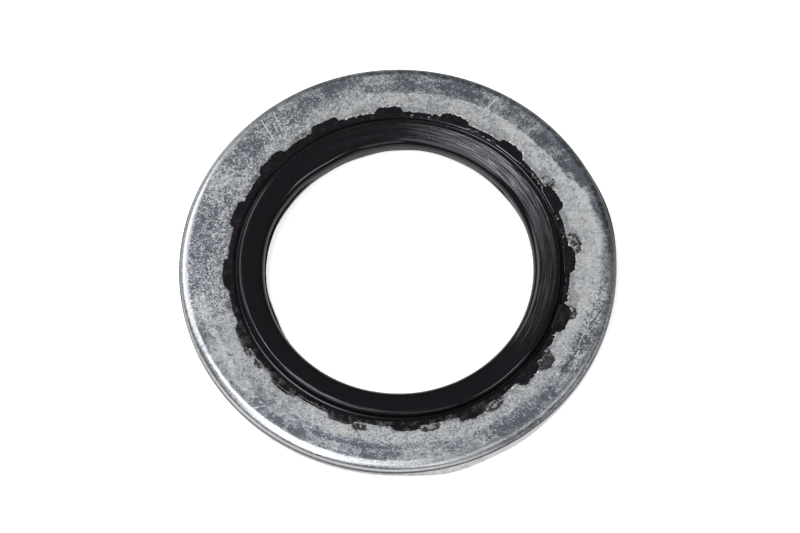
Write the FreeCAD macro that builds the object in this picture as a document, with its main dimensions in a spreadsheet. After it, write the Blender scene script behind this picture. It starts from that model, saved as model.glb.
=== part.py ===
import FreeCAD, Part
import os
import Sketcher

# A bonded seal washer: a flat steel ring with a rubber sealing ring moulded into its bore.
# Its axis is +Z and its origin lies on that axis, halfway through the steel.

# Driving dimensions in millimetres. The radial widths run outwards from the rubber bore.
SIZES = {
    "bore_diameter": "15.9",
    "bore_wall_width": "0.45",
    "bead_top_width": "1.02",
    "bead_flank_width": "0.155",
    "groove_width": "0.175",
    "margin_width": "0.4",
    "steel_width": "2.85",
    "steel_thickness": "1.2",
    "die_roll": "0.5",
    "bead_rise": "0.33",
    "bead_top_fall": "0.2",
    "margin_sink": "0.04",
    "groove_depth": "0.1",
    "land_height": "0.5",
    "crest_round": "0.08",
    "notch_count": "16",
    "notch_width": "1.6",
    "notch_reach": "0.3",
    "notch_corner": "0.28",
}

# Radii from the axis, each one built on the one before it.
BORE = "Sizes.bore_diameter / 2"
SHOULDER = BORE + " + Sizes.bore_wall_width"
CREST = SHOULDER + " + Sizes.bead_top_width"
FOOT = CREST + " + Sizes.bead_flank_width"
GROOVE = FOOT + " + Sizes.groove_width"
JOINT = GROOVE + " + Sizes.margin_width"
RIM = JOINT + " + Sizes.steel_width"

# Heights above the middle plane of the steel. The seal is alike above and below it.
# The crest's height and radius are those of its corner before it is rounded.
FACE_UP = "Sizes.steel_thickness / 2"
MARGIN_UP = FACE_UP + " - Sizes.margin_sink"
GROOVE_UP = MARGIN_UP + " - Sizes.groove_depth"
CREST_UP = FACE_UP + " + Sizes.bead_rise"
SHOULDER_UP = CREST_UP + " - Sizes.bead_top_fall"
LAND_UP = "Sizes.land_height / 2"

# A notch and the rubber lug in it share one outline. It starts halfway across the margin.
NOTCH_ROOT = JOINT + " - Sizes.margin_width / 2"
NOTCH_END = JOINT + " + Sizes.notch_reach"
NOTCH_SIDE = "Sizes.notch_width / 2"


def make_sheet(doc):
    """The spreadsheet that holds the driving dimensions."""
    sheet = doc.addObject("Spreadsheet::Sheet", "Sizes")
    for row, (alias, number) in enumerate(SIZES.items(), start=1):
        sheet.set("A%d" % row, alias)
        sheet.set("B%d" % row, number)
        sheet.setAlias("B%d" % row, alias)
    doc.recompute()
    return sheet


def below(height):
    """The same height on the other side of the middle plane."""
    return "-(" + height + ")"


def origin_item(body, role):
    """A plane or an axis of the body's own origin."""
    for item in body.Origin.OriginFeatures:
        if item.Role == role:
            return item
    raise RuntimeError("no origin item " + role)


def new_sketch(body, name, role):
    sketch = body.newObject("Sketcher::SketchObject", name)
    sketch.AttachmentSupport = [(origin_item(body, role), "")]
    sketch.MapMode = "FlatFace"
    return sketch


def tie(sketch, kind, name, first, expression):
    """Add one dimension to a sketch and bind it to the sheet."""
    number = sketch.evalExpression(expression)
    index = sketch.addConstraint(Sketcher.Constraint(kind, *first, number))
    sketch.renameConstraint(index, name)
    sketch.setExpression("Constraints." + name, expression)


def closed_outline(sketch, corners, rounds):
    """Straight sides round a list of named corners, some of the corners rounded.

    The two expressions of a corner place it where its sides would meet without the rounding.
    """
    places = [
        FreeCAD.Vector(sketch.evalExpression(across), sketch.evalExpression(up), 0)
        for name, across, up in corners
    ]
    sides = len(corners)
    for i in range(sides):
        sketch.addGeometry(Part.LineSegment(places[i], places[(i + 1) % sides]), False)
    for i in range(sides):
        sketch.addConstraint(Sketcher.Constraint("Coincident", i, 2, (i + 1) % sides, 1))
    for i, (name, across, up) in enumerate(corners):
        tie(sketch, "DistanceX", name + "_across", (-1, 1, i, 1), across)
        tie(sketch, "DistanceY", name + "_up", (-1, 1, i, 1), up)
    for i, (name, across, up) in enumerate(corners):
        if name in rounds:
            arc = sketch.GeometryCount
            sketch.fillet(i, 1, sketch.evalExpression(rounds[name]), True, True)
            tie(sketch, "Radius", name + "_round", (arc,), rounds[name])


def notch_outline(body, name):
    """One notch on the X axis: square at its root, round at the two corners of its end."""
    sketch = new_sketch(body, name, "XY_Plane")
    corners = [
        ("root_right", NOTCH_ROOT, below(NOTCH_SIDE)),
        ("end_right", NOTCH_END, below(NOTCH_SIDE)),
        ("end_left", NOTCH_END, NOTCH_SIDE),
        ("root_left", NOTCH_ROOT, NOTCH_SIDE),
    ]
    rounds = {"end_right": "Sizes.notch_corner", "end_left": "Sizes.notch_corner"}
    closed_outline(sketch, corners, rounds)
    return sketch


def circle_edge(feature, radius, height):
    """Name of the circular edge with this radius at this height."""
    radius, height = feature.evalExpression(radius), feature.evalExpression(height)
    for i, edge in enumerate(feature.Shape.Edges, start=1):
        if isinstance(edge.Curve, Part.Circle):
            circle = edge.Curve
            if abs(circle.Radius - radius) < 1e-4 and abs(circle.Center.z - height) < 1e-4:
                return "Edge%d" % i
    raise RuntimeError("no circular edge of radius %g" % radius)


def repeat_round_axis(body, feature, name):
    """Copy a notch or a lug evenly round the axis."""
    pattern = body.newObject("PartDesign::PolarPattern", name)
    pattern.Originals = [feature]
    pattern.Axis = (origin_item(body, "Z_Axis"), [""])
    pattern.Angle = 360
    pattern.setExpression("Occurrences", "Sizes.notch_count")
    body.Tip = pattern
    body.Document.recompute()
    return pattern


def new_body(doc, label):
    """An empty body; its label names the piece and its file."""
    body = doc.addObject("PartDesign::Body", label)
    body.Label = label
    return body


def make_steel_washer(doc):
    """Blanked ring with a rolled upper rim, a sharp lower rim and a notched bore."""
    body = new_body(doc, "steel_washer")
    outline = new_sketch(body, "washer_outline", "XY_Plane")
    for index, (name, radius) in enumerate((("rim", RIM), ("bore", JOINT))):
        number = outline.evalExpression(radius)
        circle = Part.Circle(FreeCAD.Vector(0, 0, 0), FreeCAD.Vector(0, 0, 1), number)
        outline.addGeometry(circle, False)
        outline.addConstraint(Sketcher.Constraint("Coincident", index, 3, -1, 1))
        tie(outline, "Radius", name + "_radius", (index,), radius)
    doc.recompute()

    blank = body.newObject("PartDesign::Pad", "blanked_ring")
    blank.Profile = outline
    blank.SideType = "Symmetric"
    blank.setExpression("Length", "Sizes.steel_thickness")
    doc.recompute()

    rolled = body.newObject("PartDesign::Fillet", "rolled_rim")
    rolled.Base = (blank, [circle_edge(blank, RIM, FACE_UP)])
    rolled.setExpression("Radius", "Sizes.die_roll")
    doc.recompute()

    notch_sketch = notch_outline(body, "notch_outline")
    doc.recompute()
    notch = body.newObject("PartDesign::Pocket", "notch")
    notch.Profile = notch_sketch
    notch.Type = "ThroughAll"
    notch.SideType = "Symmetric"
    doc.recompute()
    if notch.Shape.Volume >= rolled.Shape.Volume:
        raise RuntimeError("the notch cuts nothing")
    repeat_round_axis(body, notch, "notches")
    return body


def make_rubber_seal(doc):
    """Moulded ring: margin, groove, bead, bore wall and land, with a lug in every notch."""
    body = new_body(doc, "rubber_seal")
    upper = [
        ("joint", JOINT, MARGIN_UP),
        ("groove", GROOVE, MARGIN_UP),
        ("foot", FOOT, GROOVE_UP),
        ("crest", CREST, CREST_UP),
        ("shoulder", SHOULDER, SHOULDER_UP),
        ("land", BORE, LAND_UP),
    ]
    lower = [("low_" + name, across, below(up)) for name, across, up in reversed(upper)]
    rounds = {"crest": "Sizes.crest_round", "low_crest": "Sizes.crest_round"}
    section = new_sketch(body, "seal_section", "XZ_Plane")
    closed_outline(section, upper + lower, rounds)
    doc.recompute()

    ring = body.newObject("PartDesign::Revolution", "seal_ring")
    ring.Profile = section
    ring.ReferenceAxis = (section, ["V_Axis"])
    ring.Angle = 360
    doc.recompute()

    lug_sketch = notch_outline(body, "lug_outline")
    doc.recompute()
    lug = body.newObject("PartDesign::Pad", "lug")
    lug.Profile = lug_sketch
    lug.SideType = "Symmetric"
    lug.setExpression("Length", "2 * (" + MARGIN_UP + ")")
    doc.recompute()
    if lug.Shape.Volume <= ring.Shape.Volume:
        raise RuntimeError("the lug adds nothing")
    repeat_round_axis(body, lug, "lugs")
    return body


def check(doc, bodies):
    """Stop if any object failed or any piece is not one sound solid."""
    for item in doc.Objects:
        if "Invalid" in item.State or "Error" in item.State:
            raise RuntimeError("%s: %s" % (item.Name, item.State))
    for body in bodies:
        shape = body.Shape
        if shape.isNull() or not shape.isValid() or len(shape.Solids) != 1:
            raise RuntimeError(body.Label + " is not one valid solid")


def main():
    doc = FreeCAD.newDocument("bonded_seal_washer")
    make_sheet(doc)
    bodies = [make_steel_washer(doc), make_rubber_seal(doc)]
    doc.recompute()
    check(doc, bodies)
    os.makedirs("parts", exist_ok=True)
    for body in bodies:
        box = body.Shape.optimalBoundingBox()
        body.Shape.exportStep("parts/" + body.Label + ".step")
        print(body.Label, "volume %.3f" % body.Shape.Volume, "faces", len(body.Shape.Faces))
        print("   x %.3f %.3f" % (box.XMin, box.XMax), "z %.3f %.3f" % (box.ZMin, box.ZMax))


main()
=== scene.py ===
"""A bonded seal washer: a zinc plated steel ring with a black rubber seal moulded into its bore.

Lengths inside the mesh functions are in millimetres and angles in degrees, anticlockwise
from +X as seen from above. The ring's axis is +Z and its origin is halfway through the steel.
"""
import math

import bmesh
import bpy
import numpy as np
from bpy.props import FloatProperty, FloatVectorProperty, IntProperty, PointerProperty
from mathutils import Matrix, Vector, noise


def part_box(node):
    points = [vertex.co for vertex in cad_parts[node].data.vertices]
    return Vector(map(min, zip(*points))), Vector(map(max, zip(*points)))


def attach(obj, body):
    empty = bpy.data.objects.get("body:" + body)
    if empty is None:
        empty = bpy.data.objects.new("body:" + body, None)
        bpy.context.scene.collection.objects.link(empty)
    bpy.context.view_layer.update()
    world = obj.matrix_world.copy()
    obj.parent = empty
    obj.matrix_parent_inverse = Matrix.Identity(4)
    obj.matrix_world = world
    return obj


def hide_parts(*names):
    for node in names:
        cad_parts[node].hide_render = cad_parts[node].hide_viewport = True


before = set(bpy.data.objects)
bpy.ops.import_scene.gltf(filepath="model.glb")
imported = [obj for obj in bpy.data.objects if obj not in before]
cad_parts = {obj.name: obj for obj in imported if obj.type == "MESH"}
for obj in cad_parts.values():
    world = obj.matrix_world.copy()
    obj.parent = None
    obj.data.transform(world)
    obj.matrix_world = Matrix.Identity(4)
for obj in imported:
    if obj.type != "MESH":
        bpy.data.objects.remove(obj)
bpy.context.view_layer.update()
STEEL_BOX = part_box("steel_washer")
SEAL_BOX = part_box("rubber_seal")

bl_info = {
    "name": "Bonded seal washer",
    "version": (1, 0, 0),
    "blender": (4, 5, 0),
    "location": "View3D > Sidebar > Washer",
    "description": "Builds the looks of a steel and rubber sealing washer round its packed solids",
    "category": "Object",
}

MM = 0.001
LUG_COUNT = 16
LUG_STEP = 360 / LUG_COUNT
# Each lug of the moulded seal: how far it has drifted round the ring in degrees, how much wider
# the film over it is than its notch in millimetres, and that film's reach as a share of the notch's.
LUGS = (
    (-0.7, 0.20, 1.00), (-0.1, 0.24, 1.15), (0.3, 0.24, 1.05), (0.2, 0.22, 0.95),
    (0.5, 0.20, 1.00), (0.3, 0.24, 1.10), (0.2, 0.45, 0.95), (-0.1, 0.30, 0.90),
    (-0.2, 0.60, 0.80), (0.2, 0.25, 0.80), (0.3, 0.45, 0.75), (0.1, 0.15, 0.85),
    (-0.6, 0.20, 0.80), (-1.0, 0.20, 1.10), (-0.2, 0.20, 1.15), (0.1, 0.24, 1.25),
)
STEEL_COLUMNS = 1200
SEAL_COLUMNS = 1060
# Height of the rubber between the steel and the groove, above the middle of the steel.
MARGIN_UP = 0.597
# Faults of this one washer: middle angle, reach in degrees and size in millimetres.
BULGE = (12.5, 11.0, 0.12)
BURRS = ((281.5, 9.0, 0.21), (299.0, 9.0, 0.11))
FLAP = (198.5, 8.0, 0.10)
# Not a fault but a painted highlight: the torn lower wall is painted brighter round this angle, with the same
# three numbers.
WALL_HIGHLIGHT = (315.0, 28.0, 1.0)
# Tones that more than one mark on the steel takes.
SOOT = (0.05, 0.05, 0.055)
GLINT = (0.82, 0.83, 0.84)


class SteelRingSettings(bpy.types.PropertyGroup):
    """Sizes and colours of the steel ring."""

    rim_radius: FloatProperty(
        name="Rim radius", description="Outside radius of the steel",
        default=STEEL_BOX[1].x, unit="LENGTH", precision=5)
    thickness: FloatProperty(
        name="Thickness", description="Thickness of the steel sheet",
        default=STEEL_BOX[1].z - STEEL_BOX[0].z, unit="LENGTH", precision=5)
    bore_radius: FloatProperty(
        name="Bore radius", description="Radius of the steel's bore between its notches",
        default=0.01015, unit="LENGTH", precision=5)
    die_roll: FloatProperty(
        name="Rolled edge", description="Radius of the edge that the blanking die rolled over",
        default=0.0005, unit="LENGTH", precision=5)
    notch_reach: FloatProperty(
        name="Notch reach", description="How far each notch cuts into the steel",
        default=0.0003, unit="LENGTH", precision=5)
    notch_width: FloatProperty(
        name="Notch width", description="Width of a notch at its root",
        default=0.0016, unit="LENGTH", precision=5)
    rim_shift: FloatProperty(
        name="Rim shift", description="How far the blanked rim sits off the bore's centre",
        default=0.00018, unit="LENGTH", precision=5)
    rim_shift_turn: FloatProperty(
        name="Rim shift direction", description="Direction in which the rim sits off centre",
        default=math.radians(112), unit="ROTATION")
    break_taper: FloatProperty(
        name="Break taper", description="How far the torn lower part of the rim draws in",
        default=0.00005, unit="LENGTH", precision=5)
    slate: FloatVectorProperty(
        name="Dark zinc", description="Dull dark patches of the outer band",
        default=(0.11, 0.125, 0.146), subtype="COLOR", min=0.0, max=1.0)
    zinc: FloatVectorProperty(
        name="Zinc", description="Plain zinc of the outer band",
        default=(0.35, 0.372, 0.398), subtype="COLOR", min=0.0, max=1.0)
    chalk: FloatVectorProperty(
        name="Chalk", description="Pale chalky film round the seal",
        default=(0.535, 0.553, 0.572), subtype="COLOR", min=0.0, max=1.0)
    # Also a painted highlight: the rolled edge takes this colour mostly on the sides where the lamps'
    # highlight falls.
    bright: FloatVectorProperty(
        name="Bright rim", description="Burnished steel of the rolled edge",
        default=(0.74, 0.75, 0.77), subtype="COLOR", min=0.0, max=1.0)


class SealRingSettings(bpy.types.PropertyGroup):
    """Sizes and colours of the rubber seal."""

    bore_radius: FloatProperty(
        name="Seal bore radius", description="Radius of the flash line inside the seal",
        default=0.00795, unit="LENGTH", precision=5)
    land_radius: FloatProperty(
        name="Land radius", description="Radius of the bore's wall above and below the flash line",
        default=0.00798, unit="LENGTH", precision=5)
    shoulder_round: FloatProperty(
        name="Shoulder round", description="Radius of the turn from the bead's top down to the land",
        default=0.00052, unit="LENGTH", precision=5)
    crest_radius: FloatProperty(
        name="Crest radius", description="Radius of the sealing crest",
        default=0.00942, unit="LENGTH", precision=5)
    foot_radius: FloatProperty(
        name="Foot radius", description="Outer foot of the bead, in the groove",
        default=0.009575, unit="LENGTH", precision=5)
    groove_radius: FloatProperty(
        name="Groove radius", description="Outer edge of the groove",
        default=0.00975, unit="LENGTH", precision=5)
    crest_height: FloatProperty(
        name="Crest height", description="Height of the crest above the middle of the steel",
        default=SEAL_BOX[1].z, unit="LENGTH", precision=5)
    crest_round: FloatProperty(
        name="Crest round", description="Radius of the sealing crest's own edge",
        default=0.00022, unit="LENGTH", precision=5)
    fall: FloatProperty(
        name="Fall of the top", description="Slope of the bead's top down from the crest",
        default=math.radians(11.1), unit="ROTATION")
    rubber: FloatVectorProperty(
        name="Rubber", description="Black rubber",
        default=(0.0050, 0.0041, 0.0057), subtype="COLOR", min=0.0, max=1.0)
    dust: FloatVectorProperty(
        name="Dust", description="Pale dust and talc on the rubber",
        default=(0.12, 0.12, 0.125), subtype="COLOR", min=0.0, max=1.0)


class StageSettings(bpy.types.PropertyGroup):
    """Camera, lamps and floor."""

    camera_turn: FloatProperty(
        name="Camera turn", description="How far the camera stands round from the -Y direction",
        default=math.radians(-1.37), unit="ROTATION")
    camera_elevation: FloatProperty(
        name="Camera elevation", description="Angle of the view above the floor",
        default=math.radians(66.75), unit="ROTATION")
    camera_roll: FloatProperty(
        name="Camera roll", description="Clockwise roll of the camera",
        default=math.radians(1.74), unit="ROTATION")
    camera_distance: FloatProperty(
        name="Camera distance", description="From the camera to the middle of the ring",
        default=0.245, unit="LENGTH")
    lens: FloatProperty(
        name="Lens", description="Focal length for a sensor 36 mm wide",
        default=185.5, unit="CAMERA")
    aim_right: FloatProperty(
        name="Aim right", description="How far the view's middle lies right of the ring's middle",
        default=0.000068, unit="LENGTH", precision=6)
    aim_up: FloatProperty(
        name="Aim up", description="How far the view's middle lies above the ring's middle",
        default=0.000233, unit="LENGTH", precision=6)
    ambient: FloatProperty(
        name="Ambient light", description="Brightness of the room round the washer",
        default=0.11, min=0.0)
    floor_radius: FloatProperty(
        name="Floor radius", description="Radius of the pale floor",
        default=3.0, unit="LENGTH")


class ResidueSettings(bpy.types.PropertyGroup):
    """Scraps of rubber and steel left where the seal meets the steel."""

    film_height: FloatProperty(
        name="Film height", description="Thickness of the rubber left on the steel",
        default=0.00002, unit="LENGTH", precision=6)
    chip_count: IntProperty(
        name="Chips", description="Number of bright chips along the torn edge", default=46, min=0)
    seed: IntProperty(name="Seed", description="Seed of the random scatter", default=11)


def to_mm(length):
    """A length in metres as millimetres, rid of its single-precision tail."""
    return round(length / MM, 6)


def smooth(low, high, value):
    """0 below low, 1 above high and a smooth step between them."""
    share = np.clip((value - low) / (high - low), 0.0, 1.0)
    return share * share * (3 - 2 * share)


def turned(angle, middle):
    """Signed degrees from middle to angle, the short way round."""
    return (angle - middle + 180) % 360 - 180


def swell(angle, fault):
    """Size of a fault of the ring at each angle."""
    middle, reach, size = fault
    return size * np.exp(-((turned(angle, middle) / reach) ** 2))


def face_angle(seen):
    """The angle on the upper face of what the photograph shows at that angle round the rim's outline.

    The three numbers come from the camera: its turn and roll, and the face's height above the outline.
    """
    turn = np.radians(seen)
    return seen - 2.19 - 1.80 * np.cos(turn) + 0.31 * np.sin(turn)


def face_place(seen, out):
    """Place on the upper face of what the photograph shows at that angle and that radius."""
    turn = np.radians(face_angle(seen))
    out = out / (0.996 + 0.005 * np.cos(turn) + 0.013 * np.sin(turn))
    return out * np.array([np.cos(turn), np.sin(turn)])


def around(angle, stops):
    """A value that runs smoothly round the ring through stops at angles of the photograph."""
    stops = sorted((face_angle(stop) % 360, value) for stop, value in stops)
    places = np.array([stop for stop, value in stops])
    values = np.array([value for stop, value in stops])
    places = np.concatenate([places[-1:] - 360, places, places[:1] + 360])
    values = np.concatenate([values[-1:], values, values[:1]])
    angle = np.asarray(angle) % 360
    after = np.clip(np.searchsorted(places, angle, side="right"), 1, len(places) - 1)
    share = (angle - places[after - 1]) / (places[after] - places[after - 1])
    share = share * share * (3 - 2 * share)
    return values[after - 1] + (values[after] - values[after - 1]) * share


def rough(across, along, height=0.0):
    """Fractal noise, about -1 to 1, at arrays of places in noise units."""
    across, along, height = np.broadcast_arrays(across, along, height)
    found = [
        noise.fractal(Vector((a, b, c)), 0.8, 2.0, 3)
        for a, b, c in zip(across.ravel(), along.ravel(), height.ravel())
    ]
    return np.array(found).reshape(across.shape)


def rough_round(angle, size, seed):
    """Fractal noise round the ring, whose lumps are about size millimetres long."""
    turn = np.radians(angle)
    reach = 10.2 / size
    return rough(np.cos(turn) * reach, np.sin(turn) * reach, seed)


def lug_outline(angle, base, reach, width, film=False):
    """Radius of a ring with a round-cornered lug at each notch, in the steel or in the film on it."""
    top = np.zeros_like(angle)
    for lug, (drift, spread, share) in enumerate(LUGS):
        side = (width + spread) / 2 if film else width / 2
        across = np.abs(np.radians(turned(angle, lug * LUG_STEP + drift))) * (base + reach)
        lug_top = np.sqrt(1 - np.clip(across / side, 0, 1) ** 5)
        top = np.maximum(top, lug_top * share if film else lug_top)
    return base + reach * top


def film_edge(angle, steel):
    """Radius where the thin rubber film on the steel ends, ragged where the mould flashed."""
    outline = lug_outline(
        angle, to_mm(steel.bore_radius), to_mm(steel.notch_reach) + 0.025,
        to_mm(steel.notch_width), film=True)
    raggedness = around(angle, (
        (0, 0.045), (20, 0.05), (60, 0.055), (100, 0.05), (130, 0.035), (170, 0.03),
        (200, 0.045), (240, 0.04), (290, 0.03), (330, 0.04)))
    cover = around(angle, (
        (0, 0.01), (50, -0.01), (90, 0.02), (115, 0.06), (150, 0.05), (175, 0.01), (205, 0.01),
        (220, -0.03), (240, -0.08), (256, -0.03), (280, 0.04), (300, 0.08), (325, 0.09), (345, 0.05)))
    coarse = rough_round(angle, 0.6, 3.7)
    fine = rough_round(angle, 0.17, 8.1)
    return outline + cover + raggedness * (1.6 * coarse + 1.5 * fine)


def mesh_from_rings(name, points):
    """A closed mesh of quads through points[ring][column], which joins up both ways."""
    rings, columns = points.shape[:2]
    ring, column = np.meshgrid(np.arange(rings), np.arange(columns), indexing="ij")
    ring_after, column_after = (ring + 1) % rings, (column + 1) % columns
    corners = (
        ring * columns + column,
        ring * columns + column_after,
        ring_after * columns + column_after,
        ring_after * columns + column,
    )
    quads = np.stack(corners, axis=-1).reshape(-1, 4).astype(np.int32)
    mesh = bpy.data.meshes.new(name)
    mesh.vertices.add(rings * columns)
    mesh.vertices.foreach_set("co", (points * MM).astype(np.float32).ravel())
    mesh.loops.add(quads.size)
    mesh.loops.foreach_set("vertex_index", quads.ravel())
    mesh.polygons.add(len(quads))
    mesh.polygons.foreach_set("loop_start", np.arange(0, quads.size, 4, dtype=np.int32))
    mesh.update(calc_edges=True)
    mesh.validate()
    mesh.shade_smooth()
    return mesh


def paint(mesh, name, values):
    """Stores one number per vertex for the material to read."""
    layer = mesh.attributes.new(name, "FLOAT", "POINT")
    layer.data.foreach_set("value", np.asarray(values, np.float32).ravel())


def add_piece(name, mesh, material):
    """A new piece that rides on the ring and takes its finish from a slot."""
    piece = bpy.data.objects.new(name, mesh)
    bpy.context.scene.collection.objects.link(piece)
    mesh.materials.append(material)
    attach(piece, "root")
    return piece


# Strokes and patches on the steel's upper face. Angles are those of the photograph.
# A stroke: start angle and radius, end angle and radius, width, lightness from -1 to 1.
STROKES = (
    (61.2, 12.85, 62.6, 11.6, 0.16, 0.75),
    (63.6, 12.80, 64.6, 11.8, 0.10, 0.35),
    (47.2, 12.85, 48.0, 11.7, 0.10, 0.55),
    (49.5, 12.15, 51.5, 11.75, 0.16, -0.6),
    (37.0, 12.70, 37.5, 12.0, 0.10, 0.45),
    (56.0, 12.60, 56.6, 11.9, 0.12, 0.30),
    (80.0, 11.90, 86.0, 12.40, 0.12, 0.30),
    (133.4, 12.80, 133.8, 11.4, 0.14, -0.45),
    (138.2, 12.70, 138.6, 11.6, 0.12, -0.4),
    (176.0, 12.20, 176.9, 12.1, 0.10, 0.9),
    (246.0, 12.45, 246.6, 11.8, 0.16, 0.35),
    (251.5, 12.40, 251.5, 11.7, 0.20, 0.4),
    (257.5, 12.30, 258.5, 11.8, 0.14, 0.3),
    (271.5, 12.50, 272.2, 11.6, 0.14, 0.35),
    (276.0, 12.40, 275.0, 11.7, 0.18, 0.35),
    (283.0, 12.30, 281.5, 11.7, 0.12, 0.3),
    (353.0, 12.10, 356.5, 12.50, 0.09, -0.5),
)
# A scratch, thinner than a stroke: the same numbers.
SCRATCHES = (
    (61.4, 12.80, 62.4, 11.80, 0.07, 0.7),
    (124.6, 12.75, 126.0, 11.40, 0.05, 0.6),
    (126.6, 12.10, 127.4, 11.50, 0.05, 0.5),
    (128.6, 12.75, 129.8, 11.30, 0.06, 0.7),
    (223.4, 12.50, 225.4, 11.95, 0.05, 0.8),
    (225.4, 11.95, 226.8, 11.55, 0.04, 0.5),
    (325.3, 11.60, 329.5, 11.66, 0.07, -0.9),
    (329.5, 11.66, 333.4, 11.73, 0.07, -0.9),
    (334.6, 11.70, 339.3, 11.67, 0.05, 0.45),
    (340.9, 11.78, 343.9, 11.65, 0.05, 0.4),
    (343.9, 11.65, 346.8, 11.67, 0.05, 0.4),
    (342.8, 11.85, 344.4, 12.03, 0.07, -0.9),
    (344.4, 12.03, 348.6, 12.30, 0.06, -0.8),
    (343.9, 12.12, 346.6, 12.25, 0.06, 0.5),
    (339.5, 12.80, 336.3, 12.72, 0.07, -0.8),
    (339.5, 12.88, 336.6, 12.80, 0.05, 0.8),
    (332.2, 12.83, 330.4, 12.75, 0.05, -0.7),
)
# A patch: middle angle and radius, half length round the ring, half width, lightness, edge light.
PATCHES = (
    (10.0, 12.15, 1.7, 0.32, 0.7, 0.0),
    (24.0, 12.00, 1.3, 0.40, 0.7, 0.0),
    (31.5, 12.35, 0.50, 0.55, -0.75, 0.0),
    (35.5, 12.45, 0.30, 0.40, -0.4, 0.0),
    (43.0, 12.25, 0.40, 0.42, -0.75, 0.0),
    (46.0, 11.85, 0.40, 0.25, -0.7, 0.0),
    (55.5, 12.30, 0.80, 0.45, -0.45, 0.0),
    (70.0, 12.25, 1.20, 0.45, -0.35, 0.0),
    (75.5, 12.15, 0.70, 0.35, -0.6, 0.0),
    (84.0, 12.05, 0.90, 0.30, -0.35, 0.0),
    (95.6, 12.40, 0.62, 0.40, 0.55, 1.1),
    (101.0, 11.95, 0.9, 0.35, 0.30, 0.0),
    (107.0, 12.30, 0.9, 0.35, -0.5, 0.0),
    (115.0, 12.00, 0.7, 0.40, -0.5, 0.0),
    (122.0, 12.45, 0.8, 0.30, 0.3, 0.0),
    (135.5, 11.90, 0.7, 0.60, -0.65, 0.0),
    (141.5, 12.20, 0.5, 0.45, -0.35, 0.0),
    (151.0, 11.80, 1.35, 0.72, 0.65, 0.55),
    (166.0, 12.10, 1.0, 0.50, -0.45, 0.0),
    (172.0, 11.50, 0.9, 0.50, -0.35, 0.0),
    (191.0, 11.75, 1.0, 0.45, 0.65, 0.3),
    (204.0, 11.65, 1.7, 0.50, 0.75, 0.0),
    (216.0, 11.55, 1.4, 0.45, 0.55, 0.0),
    (198.0, 12.35, 1.6, 0.16, -0.5, 0.0),
    (231.0, 11.95, 1.3, 0.30, -0.4, 0.0),
    (240.0, 12.00, 1.0, 0.30, -0.45, 0.0),
    (263.0, 12.05, 1.2, 0.30, -0.5, 0.0),
    (268.0, 11.80, 0.6, 0.20, -0.4, 0.0),
    (287.0, 11.95, 0.9, 0.35, -0.2, 0.0),
    (293.0, 12.10, 0.9, 0.35, 0.25, 0.0),
    (309.0, 12.05, 1.6, 0.40, -0.45, 0.0),
    (318.0, 11.95, 0.8, 0.35, -0.6, 0.0),
    (328.0, 12.30, 1.2, 0.30, 0.30, 0.3),
    (337.0, 12.10, 0.5, 0.30, -0.5, 0.0),
    (346.5, 12.30, 0.9, 0.30, -0.35, 0.0),
    (357.0, 12.35, 0.8, 0.22, -0.5, 0.0),
    (27.5, 12.30, 0.7, 0.45, -0.9, 0.0),
    (33.5, 11.95, 0.6, 0.25, -0.5, 0.0),
    (69.0, 12.00, 0.7, 0.28, -0.45, 0.0),
    (159.0, 11.30, 0.5, 0.24, -0.8, 0.0),
    (170.5, 11.85, 0.5, 0.32, 0.5, 0.0),
    (183.0, 12.00, 0.8, 0.30, -0.4, 0.0),
    (232.0, 11.85, 0.7, 0.30, -0.4, 0.0),
    (303.0, 12.05, 0.7, 0.35, -0.5, 0.0),
    (331.0, 11.70, 1.2, 0.20, -0.5, 0.0),
    (340.5, 12.10, 0.35, 0.20, -0.7, 0.0),
    (336.5, 11.95, 0.45, 0.25, -0.8, 0.0),
    (337.5, 12.35, 0.35, 0.18, -0.7, 0.0),
    (327.0, 11.85, 0.8, 0.25, -0.5, 0.0),
    (249.0, 11.38, 1.5, 0.20, -0.6, 0.0),
    (259.5, 11.36, 1.3, 0.22, -0.7, 0.0),
    (267.5, 11.32, 0.8, 0.20, -0.5, 0.0),
    (201.0, 11.85, 0.8, 0.30, -0.5, 0.0),
    (163.5, 11.40, 1.0, 0.22, -0.6, 0.0),
    (135.0, 11.35, 0.6, 0.25, -0.6, 0.0),
)


# An older outline of the seal shows on the steel: turned and larger, its lugs half torn away.
OLD_TURN = 6.6
OLD_BASE = 10.44
DIRT_TURN = 9.2
# Scraps of rubber in its lugs: middle angle, outer radius, half width, width of the dark rim,
# and share of the inside that is still covered.
SCRAPS = (
    (8.6, 10.92, 0.72, 0.09, 0.35),
    (31.8, 10.78, 0.48, 0.14, 0.25),
    (208.6, 10.58, 0.46, 0.16, 0.75),
    (214.6, 10.46, 0.38, 0.14, 0.70),
    (256.2, 10.66, 0.48, 0.20, 0.85),
    (279.8, 10.64, 0.62, 0.12, 0.25),
    (302.4, 10.74, 0.72, 0.15, 0.35),
    (325.6, 10.98, 0.72, 0.18, 0.85),
    (344.2, 10.92, 0.46, 0.15, 0.35),
)


def scrap_gap(angle, radius, scrap):
    """Distance outside a scrap's arch, less than zero within it."""
    middle, outer, half_width = scrap[:3]
    foot, roundness = 10.15, 2.6
    across = np.abs(np.radians(turned(angle, face_angle(middle)))) * outer / half_width
    up = np.clip(radius - foot, 0, None) / (outer - foot)
    return ((across**roundness + up**roundness) ** (1 / roundness) - 1) * (outer - foot)


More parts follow.
